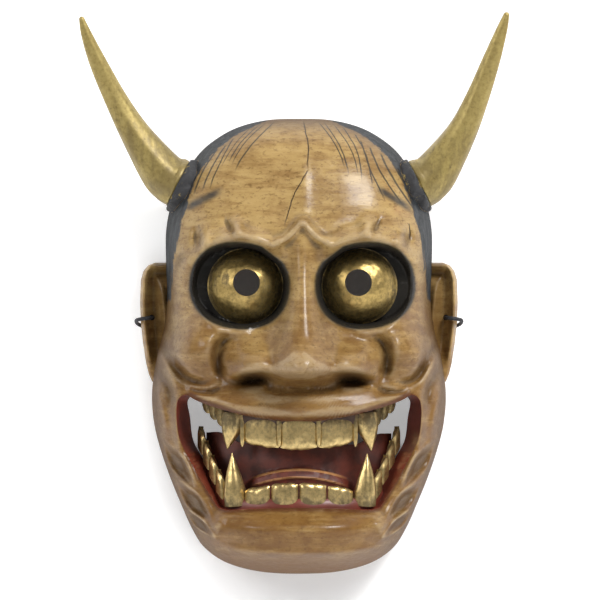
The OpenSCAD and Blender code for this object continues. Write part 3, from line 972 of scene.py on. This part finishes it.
# %% Ears
# Outer edge of an ear from top to lobe, in mm across and up
EAR_OUTLINE = [(66.5, 38.4), (69.6, 37.2), (71.8, 34.6), (73.0, 30.5), (73.4, 20), (73, 10), (72, 1),
               (70.6, -8), (69.4, -13), (67.8, -16.6), (64.5, -18.3)]
EAR_BACK = -6.6


def ear(name, side):
    """One ear, pierced for the cord; side is -1 on the left"""
    bm = bmesh.new()
    tone = bm.verts.layers.float.new("proud")
    made = bmesh.ops.create_grid(bm, x_segments=40, y_segments=110, size=0.5)["verts"]
    outline = np.array(EAR_OUTLINE)
    for vert in made:
        across, up = vert.co.x + 0.5, vert.co.y + 0.5
        z = -18.2 + 56.6 * up
        edge_x = np.interp(-z, -outline[:, 1], outline[:, 0])
        x = 57.0 + (edge_x - 57.0) * across
        inward = min(edge_x - x, 38.6 - z, (z + 18.6) * 1.2)
        rim_ridge = 3.6 * math.exp(-(((inward - 1.9) / 1.5) ** 2)) * smooth(-13, 0, z)
        bend = 2.2 * math.sin((z + 6) / 12)
        groove = 1.8 * math.exp(-(((inward - 5.4 - bend * 0.4) / 1.5) ** 2)) * smooth(-9, 4, z)
        inner_ridge = 2.4 * math.exp(-(((inward - 9.2 - bend) / 1.7) ** 2))
        inner_ridge *= smooth(-14, -2, z) * smooth(34, 22, z)
        lobe = 2.6 * math.exp(-(((x - 65.5) / 3.4) ** 2 + ((z + 12.5) / 5.5) ** 2))
        soft_edge = 1.4 * math.exp(-((inward / 0.7) ** 2))
        y = -10.0 - 2.0 * across - rim_ridge + groove - inner_ridge - lobe + soft_edge
        vert.co = Vector((side * x, y, z)) * MM
        vert[tone] = 0.06 * (rim_ridge + inner_ridge + lobe) - 0.11 * groove
    faces = list({f for v in made for f in v.link_faces})
    grown = bmesh.ops.extrude_face_region(bm, geom=faces)["geom"]
    for vert in [g for g in grown if isinstance(g, bmesh.types.BMVert)]:
        vert.co.y = EAR_BACK * MM
    bmesh.ops.recalc_face_normals(bm, faces=bm.faces)
    made = piece(name, bm, [skin_finish], ["mask_shell"], sharp=55)
    hole = bmesh.new()
    bar(hole, (side * 68, -20, 13), (side * 68, -3, 13), 1.3, 0, 24)
    apply_cut(made, piece("cord_hole", hole, [skin_finish], None), "DIFFERENCE")


ear("left_ear", -1)
ear("right_ear", 1)

# %% [markdown]
# ## Inside the mouth
# Gums, the wall of the jaw and the tongue lie on arcs round the middle of the head. Each is a strip
# whose height and depth change along the arc, thickened towards the back.

# %% Strips on an arc
ARCH_Y = -8


def on_arch(turn, radius, z):
    """A point in m at a turn from straight ahead, on an arc of that radius in mm"""
    return Vector((radius * math.sin(turn), ARCH_Y - radius * math.cos(turn), z)) * MM


def arch_strip(bm, place, thickness, columns, rows):
    """A thickened strip; place(across, up) gives the turn in degrees, the radius and the height"""
    made = bmesh.ops.create_grid(bm, x_segments=columns, y_segments=rows, size=0.5)["verts"]
    for vert in made:
        across, up = vert.co.x + 0.5, vert.co.y + 0.5
        turn, radius, z = place(across, up)
        vert.co = on_arch(math.radians(turn), radius, z)
    faces = list({f for v in made for f in v.link_faces})
    bm.normal_update()
    grown = bmesh.ops.solidify(bm, geom=faces, thickness=thickness * MM)["geom"]
    bmesh.ops.recalc_face_normals(bm, faces=faces + [f for f in grown if isinstance(f, bmesh.types.BMFace)])


def ripple(value, size, seed):
    """A slow waver of about that size, as the hand leaves it"""
    return size * noise.noise(Vector((value, seed, 0.37)))


# %% Finishes inside the mouth
def mouth_lining(wire, shader):
    place = object_place(wire)
    x, y, z = [axis * 1000 for axis in split(wire, place)]
    cloud, specks = wire.noise(place, 120, 4), wire.noise(place, 600, 3, 0.7)
    tone = wire.mix(cloud.ramp(0.35, 0.65), rgb(0.135, 0.024, 0.011), rgb(0.060, 0.013, 0.007))
    arch = -56.0 - 0.0088 * x * x
    # pale gold along the tongue's two ridges: its gilded edge, with a painted highlight
    tongue_gilt_and_highlight = abs(z - arch).ramp(0.75, 0.2).most(abs(z - arch + 3.4).ramp(0.75, 0.2) * 0.8)
    tongue_gilt_and_highlight = tongue_gilt_and_highlight * abs(x).ramp(23, 15) * (0.45 + specks)
    tone = wire.mix(tongue_gilt_and_highlight, tone, rgb(0.50, 0.24, 0.09))
    tone = wire.mix(specks.ramp(0.58, 0.74) * 0.6, tone, rgb(0.03, 0.010, 0.007))
    wire.plug(tone, shader.inputs["Base Color"])
    wire.plug(0.42 + cloud * 0.2, shader.inputs["Roughness"])
    wire.plug(bump(wire, specks, 0.00015, 0.5), shader.inputs["Normal"])


def gum_paint(wire, shader):
    place = object_place(wire)
    cloud, specks = wire.noise(place, 200, 4), wire.noise(place, 800, 3, 0.7)
    tone = wire.mix(cloud.ramp(0.35, 0.65), rgb(0.060, 0.030, 0.018), rgb(0.030, 0.014, 0.009))
    tone = wire.mix(specks.ramp(0.58, 0.72) * 0.4, tone, rgb(0.20, 0.13, 0.055))
    wire.plug(tone, shader.inputs["Base Color"])
    wire.plug(0.55 + specks * 0.25, shader.inputs["Roughness"])
    wire.plug(bump(wire, specks, 0.0002, 0.6), shader.inputs["Normal"])


lining_finish = finish_material("mouth_lining", mouth_lining)
gum_finish = finish_material("dark_gums", gum_paint)

# %% Jaw wall, tongue and gums
def jaw_wall(across, up):
    """The upright wall of the lower jaw, with the tongue's ledge across its middle"""
    turn = -66 + 132 * across
    away = abs(turn)
    top = -41.2 - 3.4 * smooth(16, 34, away) + 5.0 * smooth(40, 60, away) + ripple(across * 7, 1.6, 3)
    z = -70 + (top + 70) * up
    arch = -55.8 - 3.8 * (turn / 26) ** 2
    near = smooth(38, 24, away)
    ledge = near * smooth(arch + 0.7, arch - 0.7, z)
    lip = near * math.exp(-(((z - arch + 3.4) / 0.7) ** 2))
    return turn, 42.5 + 4.2 * ledge + 0.8 * lip + 5.5 * smooth(40, 66, away) - 1.5 * smooth(-54, -42, z), z


def lower_gum(across, up):
    turn = -47 + 94 * across
    bow = abs(math.cos(math.radians((turn - 0.2) * 180 / 13.6)))     # one bow for each tooth
    z = -76 + (6.3 + 0.8 * bow) * up + 5 * smooth(36, 47, abs(turn))
    return turn, 55.4 - 1.6 * up**4 - 2.5 * smooth(32, 47, abs(turn)), z


def upper_gum(across, up):
    turn = -38 + 76 * across
    bow = abs(math.cos(math.radians((turn + 0.2) * 180 / 18.6)))     # one bow for each tooth
    z = -36.4 + 0.8 * bow * (1 - up) + 8 * up + 3.0 * smooth(26, 56, abs(turn)) * (1 - up)
    return turn, 55.3 - 1.4 * (1 - up) ** 4 - 1.5 * smooth(30, 56, abs(turn)), z


GUM_THICK = 1.6
mouth = bmesh.new()
arch_strip(mouth, jaw_wall, 2.2, 96, 30)
piece("jaw_wall_and_tongue", mouth, [lining_finish], ["mask_shell"])
gums = bmesh.new()
arch_strip(gums, lower_gum, GUM_THICK, 120, 12)
piece("lower_gum", gums, [red_finish], ["mask_shell"])
gums = bmesh.new()
arch_strip(gums, upper_gum, GUM_THICK, 120, 12)
piece("upper_gum", gums, [gum_finish], ["mask_shell"])

# %% [markdown]
# ## Teeth and fangs
# Thin gilt metal is beaten over carved teeth, so each tooth is a low pillow with a soft edge, and
# narrow beads of metal lie between the upper ones.

# %% Worn gilt metal
def gilt(name, bright, dark, patina, hammer, rough=0.34, roots=()):
    """Gilt metal that darkens where age passes patina, and between each pair of heights in roots; the
    darkening at the eye's rim and at the roots is tarnish and painted shade
    """
    def paint_metal(wire, shader):
        place = object_place(wire)
        cloud = wire.noise(place, 130, 5, 0.65)
        specks = wire.noise(place, 620, 4, 0.6)
        streaks = wire.noise(place, 420, 4, 0.65, stretch=(1.0, 1.0, 0.14))
        # the rim term darkens each eye towards its edge in the socket: tarnish and painted shade
        age = cloud * 0.48 + specks * 0.14 + streaks * 0.42 + wire.attribute("rim").ramp(0.55, 1.0) * 0.14
        height_mm = split(wire, place)[2] * 1000
        # towards the roots of the teeth, by the gums and lips: tarnish and painted shade
        for darkening_from, deep in roots:
            this_row = height_mm.ramp(-52, -48 if darkening_from > -50 else -56)
            age = age + height_mm.ramp(darkening_from, deep) * this_row * 0.19
        tarnish = age.ramp(patina, patina + 0.22) * 0.85
        tone = wire.mix(specks.ramp(0.35, 0.7), bright, rgb(*[c * 0.62 for c in bright[:3]]))
        wire.plug(wire.mix(tarnish, tone, dark), shader.inputs["Base Color"])
        wire.plug(0.92 - tarnish * 0.75, shader.inputs["Metallic"])
        wire.plug(rough + tarnish * 0.25 + specks * 0.12, shader.inputs["Roughness"])
        relief = bump(wire, wire.noise(place, 240, 2, 0.4), 0.001, hammer)
        wire.plug(bump(wire, specks - tarnish * 0.5, 0.00012, 0.5, relief), shader.inputs["Normal"])
    return finish_material(name, paint_metal)


tooth_finish = gilt("tooth_gilt", rgb(0.62, 0.46, 0.20), rgb(0.075, 0.055, 0.022), 0.56, 0.25, 0.27,
                    roots=((-43, -32), (-63, -72)))
eye_finish = gilt("eye_gilt_copper", rgb(0.50, 0.355, 0.125), rgb(0.045, 0.032, 0.015), 0.50, 0.5, 0.34)

# %% Incisors and side teeth
def tooth_strip(bm, starts, width, low, high, radius, bite, scallop):
    """Pillow-shaped teeth side by side; bite is -1 where the biting edge is below and 1 above"""
    for number, start in enumerate(starts):
        def place(across, up, start=start, number=number):
            turn = start + width * (0.015 + 0.97 * across)
            edge_u, edge_v = abs(2 * across - 1), 2 * up - 1
            pillow = (1 - edge_u**4) * (1 - abs(edge_v) ** 5)
            z = low + (high - low) * up
            free = smooth(0.45, 1, up if bite > 0 else 1 - up)
            z += -bite * free * (scallop * edge_u**3.0 + ripple(turn * 0.3, 0.5, number + 7))
            z += -bite * free * 0.0042 * turn**2
            hollow_line = 0.35 * math.exp(-(((across - 0.5) / 0.09) ** 2)) * free
            return turn, radius - 1.3 + 1.6 * pillow**0.7 - hollow_line, z
        arch_strip(bm, place, 2.6, 26, 22)


upper = bmesh.new()
tooth_strip(upper, (-28, -9.2, 9.6), 18.4, -46.9, -31, 55, -1, 0.9)
for turn in (-28, -9.4, 9.4, 28):
    a = math.radians(turn)
    swept(upper, [on_arch(a, 54.6, z) / MM for z in (-31, -36, -41, -44.2, -45.4)],
          [(1.3, 0.8), (1.2, 0.8), (1.1, 0.75), (0.8, 0.6), (0.2, 0.15)], 12, first_side=(1, 0, 0))
piece("upper_incisors", upper, [tooth_finish], ["upper_tooth_plate"], sharp=60)

lower = bmesh.new()
tooth_strip(lower, (-27.4, -13.6, 0.2, 14), 13.4, -73, -61.6, 55, 1, 0.8)
piece("lower_incisors", lower, [tooth_finish], ["lower_tooth_plate"], sharp=60)


def side_row(name, turns, width, lows, highs, bite, slope):
    """A row of side teeth at the given turns, each between its low and high, that climbs by slope"""
    bm = bmesh.new()
    for i, (turn, low, high) in enumerate(zip(turns, lows, highs)):
        def place(across, up, turn=turn, low=low, high=high, i=i):
            edge_u = abs(2 * across - 1)
            tip = smooth(0.4, 1, up if bite > 0 else 1 - up)
            z = low + (high - low) * up - bite * tip * 1.1 * edge_u**2.5 * (high - low) / 8
            pillow = (1 - edge_u**4) * (1 - 0.5 * tip**3)
            here = turn + width * (across - 0.5)
            z += slope * (abs(here) - abs(turn)) * (1 if bite > 0 else 1 - up)
            return here, 52.6 + 1.6 * pillow, z
        arch_strip(bm, place, 2.2, 12, 12)
    piece(name, bm, [tooth_finish], [name], sharp=60)


for side, word in ((-1, "left"), (1, "right")):
    side_row(f"upper_{word}_side_teeth", [side * (42.5 + 5.4 * i) for i in range(3)], 5.6,
             [-36 + 3.0 * i for i in range(3)], [-25.5, -24.5, -23], -1, 0.55)
    side_row(f"lower_{word}_side_teeth", [side * (42.6 + 4.9 * i) for i in range(4)], 6.4,
             [-67.5 + 6.6 * i for i in range(4)], [-57.6 + 6.4 * i for i in range(4)], 1, 0.95)

# %% Fangs
def fang(name, turn, radius, root, rise, girth, lean):
    """A curved cone from its root's height; lean is how far its tip lies across and forward"""
    a = math.radians(turn)
    bm = bmesh.new()
    rings, sizes = [], []
    for step in np.linspace(0, 1, 18):
        bow = 1.6 * math.sin(math.pi * step)
        out = radius + bow * 0.5 + lean[1] * step
        centre = on_arch(a, out, root + rise * step) / MM
        centre.x += lean[0] * step**1.5
        rings.append(centre)
        size = girth * (1 + 0.10 * math.sin(math.pi * step)) * (1 - step**1.35) ** 0.85
        sizes.append((max(size, 0.25), max(size * 0.86, 0.22)))
    swept(bm, rings, sizes, 28, lambda i, b: 1 + 0.035 * math.cos(5 * b + 0.08 * i), first_side=(1, 0, 0))
    piece(name, bm, [tooth_finish], [name], sharp=70)


fang("upper_left_fang", -33.6, 53, -31, -15.6, 5.8, (-2.6, 1.0))
fang("upper_right_fang", 34.4, 53, -31, -16.4, 5.8, (2.4, 1.0))
fang("lower_left_fang", -32.5, 53, -72, 23.6, 5.4, (-1.2, 1.2))
fang("lower_right_fang", 33.6, 53, -72, 23.2, 5.4, (1.0, 1.2))

# %% [markdown]
# ## Eyes
# Each eye is a dome of gilt copper, beaten from sheet and pierced by a pupil through which the wearer
# sees. Its rings slide from the round edge to the pupil, which isn't quite in the middle.

# %% Domed eyes
DOME_R, METAL = 18.5, 1.4


def eye(name, side):
    """One eye, fitted to its packed box; rings run from the edge to the pupil and back inside"""
    low, high = [[c / MM for c in corner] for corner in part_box(name)]
    cx, cz, edge_y, edge_r = (low[0] + high[0]) / 2, (low[2] + high[2]) / 2, high[1], (high[0] - low[0]) / 2
    centre_y = low[1] + DOME_R
    pupil = (cx - side * 0.6, cz + 1.5, 6.1)
    bm = bmesh.new()
    rim_layer = bm.verts.layers.float.new("rim")
    verts = bmesh.ops.create_circle(bm, segments=96, radius=1)["verts"]
    edges = list({e for v in verts for e in v.link_edges})
    first = edges
    steps = [(s, 0.0) for s in np.linspace(0, 1, 26)] + [(s, METAL) for s in np.linspace(1, 0, 12)]
    for number, (share, depth) in enumerate(steps):
        if number:
            grown = bmesh.ops.extrude_edge_only(bm, edges=edges)["geom"]
            verts = [g for g in grown if isinstance(g, bmesh.types.BMVert)]
            edges = [g for g in grown if isinstance(g, bmesh.types.BMEdge)]
        for vert in verts:
            if number:
                vert.co = vert.co / MM - Vector((last[0], 0, last[1]))
                angle = math.atan2(vert.co.z, vert.co.x)
            else:
                angle = math.atan2(vert.co.y, vert.co.x)
            mx, mz = cx + (pupil[0] - cx) * share, cz + (pupil[1] - cz) * share
            r = edge_r + (pupil[2] - edge_r) * share
            x, z = mx + r * math.cos(angle), mz + r * math.sin(angle)
            dome = max(0, (DOME_R - depth) ** 2 - (x - cx) ** 2 - (z - cz) ** 2) ** 0.5
            dent = 0.10 * noise.noise(Vector((x, z, side)) * 0.28) * (1 - share**8)
            y = min(centre_y - dome + dent, edge_y - (0.5 if not depth else 0))
            vert.co = Vector((x, y, z)) * MM
            vert[rim_layer] = 1 - share
        last = (mx, mz)
    bmesh.ops.bridge_loops(bm, edges=first + edges)
    bmesh.ops.recalc_face_normals(bm, faces=bm.faces)
    piece(name, bm, [eye_finish], [name], sharp=60)


eye("left_eye", -1)
eye("right_eye", 1)

# %% [markdown]
# ## Horns
# Each horn is a turned tenon below and a hand-carved curve above, which is never quite round. Its
# gilding has gone dark in streaks, most of all at the root.

# %% Horn gilding
def horn_paint(wire, shader):
    place = object_place(wire)
    x, y, z = [axis * 1000 for axis in split(wire, place)]
    cloud = wire.noise(place, 70, 5, 0.62)
    specks = wire.noise(place, 500, 4, 0.7)
    streaks = wire.noise(place, 150, 5, 0.65, stretch=(1.6, 1.6, 0.3))
    root = z.ramp(112, 82)
    age = cloud * 0.5 + streaks * 0.5 + root * 0.10
    tone = wire.mix(specks.ramp(0.35, 0.7), rgb(0.37, 0.285, 0.095), rgb(0.26, 0.19, 0.058))
    tone = wire.mix(age.ramp(0.48, 0.68) * 0.6, tone, rgb(0.11, 0.074, 0.020))
    tone = wire.mix(specks.ramp(0.62, 0.76) * 0.7, tone, rgb(0.05, 0.034, 0.013))
    wire.plug(tone, shader.inputs["Base Color"])
    wire.plug(0.50 - age.ramp(0.50, 0.68) * 0.25, shader.inputs["Metallic"])
    wire.plug(0.36 + specks * 0.16, shader.inputs["Roughness"])
    relief = bump(wire, streaks, 0.0005, 0.5)
    wire.plug(bump(wire, specks, 0.00012, 0.5, relief), shader.inputs["Normal"])


horn_finish = finish_material("horn_gilding", horn_paint)

# %% Horns with their tenons
# Middle line and radius of each horn above its root, in mm
HORNS = {
    -1: [(-63.9, -22.5, 81.2, 10), (-75.3, -24, 97.5, 7), (-84, -26, 112.8, 5.3), (-92.2, -29, 130, 4),
         (-97.4, -31.5, 143, 2.5), (-99.6, -32.9, 150.2, 1.2)],
    1: [(63.8, -22.5, 81.2, 10), (74.3, -24, 97.5, 7), (81.6, -26, 113.5, 5.4), (88.2, -29, 131, 4.1),
        (93, -31.5, 145, 2.6), (95.2, -32.9, 152.2, 1.3)],
}


def horn(name, side):
    """Tenon, shoulder and curved horn in one sweep, on the body that the joint draws off"""
    axis, seat = horn_axis(side), horn_seat(side)
    line = [(*(seat - 12 * axis), 4.4), (*(seat - 11.6 * axis), 4.9), (*(seat - 0.02 * axis), 4.98),
            (*seat, 11.2), (*(seat + 0.5 * axis), 11.5)]
    upper_line = rounded_open([(*(seat + 0.5 * axis), 11.5), (*(seat + 4 * axis), 11), *HORNS[side]], 9)
    line += [tuple(p) for p in upper_line[1:]]
    tip = Vector(line[-1][:3])
    ahead = (tip - Vector(line[-3][:3])).normalized()
    line += [(*(tip + ahead * 0.5), 0.8), (*(tip + ahead * 0.75), 0.3)]

    def handmade(i, angle):
        if i < 5:
            return 1
        return 1 + 0.022 * math.cos(3 * angle + 0.05 * i) + 0.012 * math.cos(7 * angle + 0.2 * i)

    bm = bmesh.new()
    swept(bm, [p[:3] for p in line], [float(p[3]) for p in line], 64, handmade, first_side=(0, -1, 0))
    piece(name, bm, [horn_finish], [name], body=name, sharp=55)


horn("left_horn", -1)
horn("right_horn", 1)

# %% [markdown]
# ## Hanging cord
# A black braided cord holds the mask. Each end is knotted behind an ear, comes forward through it,
# turns round its edge and goes in through the side wall, and the rest sags inside the hollow.

# %% Cord and knots
# The left half of the cord's way, from its knot to the middle of the sag, in mm
CORD_HALF = [(-68, -6, 13), (-68, -10, 13), (-68, -14, 13), (-69.2, -16.7, 12.8), (-71.6, -17.6, 12.5),
             (-74, -16.4, 12.1), (-75, -14, 11.6), (-75, -9, 10.6), (-74.2, -6.4, 9.8), (-71.5, -4.9, 8.6),
             (-67, -4.5, 7), (-62, -4.5, 6), (-56, -4.5, 6), (-50, -4.5, 4), (-45, -4.5, -3),
             (-40, -4.5, -13), (-31, -4.5, -24), (-17, -4.5, -32.5), (0, -4.5, -36)]
CORD_D = 1.8


def cord_paint(wire, shader):
    place = object_place(wire)
    weave = wire.noise(place, 1800, 2, 0.5)
    wire.plug(wire.mix(weave.ramp(0.3, 0.7), rgb(0.010, 0.010, 0.012), rgb(0.035, 0.035, 0.040)),
              shader.inputs["Base Color"])
    wire.plug(0.6 + weave * 0.25, shader.inputs["Roughness"])
    wire.plug(bump(wire, weave, 0.0002, 0.7), shader.inputs["Normal"])


cord_finish = finish_material("black_silk_cord", cord_paint)
route = CORD_HALF + [(-x, y, z) for x, y, z in CORD_HALF[-2::-1]]
smooth_route = rounded_open(route, 14)
lengths = np.hypot(np.hypot(*np.diff(smooth_route[:, :2], axis=0).T), np.diff(smooth_route[:, 2]))
walked = np.concatenate([[0], np.cumsum(lengths)])
count = 420
even = np.array([[np.interp(s, walked, smooth_route[:, k]) for k in range(3)]
                 for s in np.linspace(0, walked[-1], count)])
bm = bmesh.new()
swept(bm, even, [CORD_D / 2 * 0.97] * count, 16,
      lambda i, a: 1 + 0.05 * math.cos(4 * (a - i * walked[-1] / count * 0.9)), first_side=(1, 0, 0))
cord = piece("hanging_cord", bm, [cord_finish], ["hanging_cord"], sharp=80)
print("cord length", round(float(walked[-1]), 1), "mm")

for side, word in ((-1, "left"), (1, "right")):
    bm = bmesh.new()
    turns = np.linspace(0, 2 * math.pi, 73)[:-1]
    knot = [(side * 68 + (1.15 + 0.35 * math.cos(3 * t)) * math.cos(2 * t), -6 + 0.55 * math.sin(3 * t),
             13 + (1.15 + 0.35 * math.cos(3 * t)) * math.sin(2 * t)) for t in turns]
    bmesh.ops.create_icosphere(bm, subdivisions=3, radius=1.5 * MM,
                               matrix=Matrix.Translation(Vector((side * 68, -6, 13)) * MM))
    swept(bm, knot, [0.62] * 72, 10, first_side=(0, 1, 0), close=True)
    piece(f"{word}_cord_knot", bm, [cord_finish], [f"{word}_cord_knot"], sharp=80)
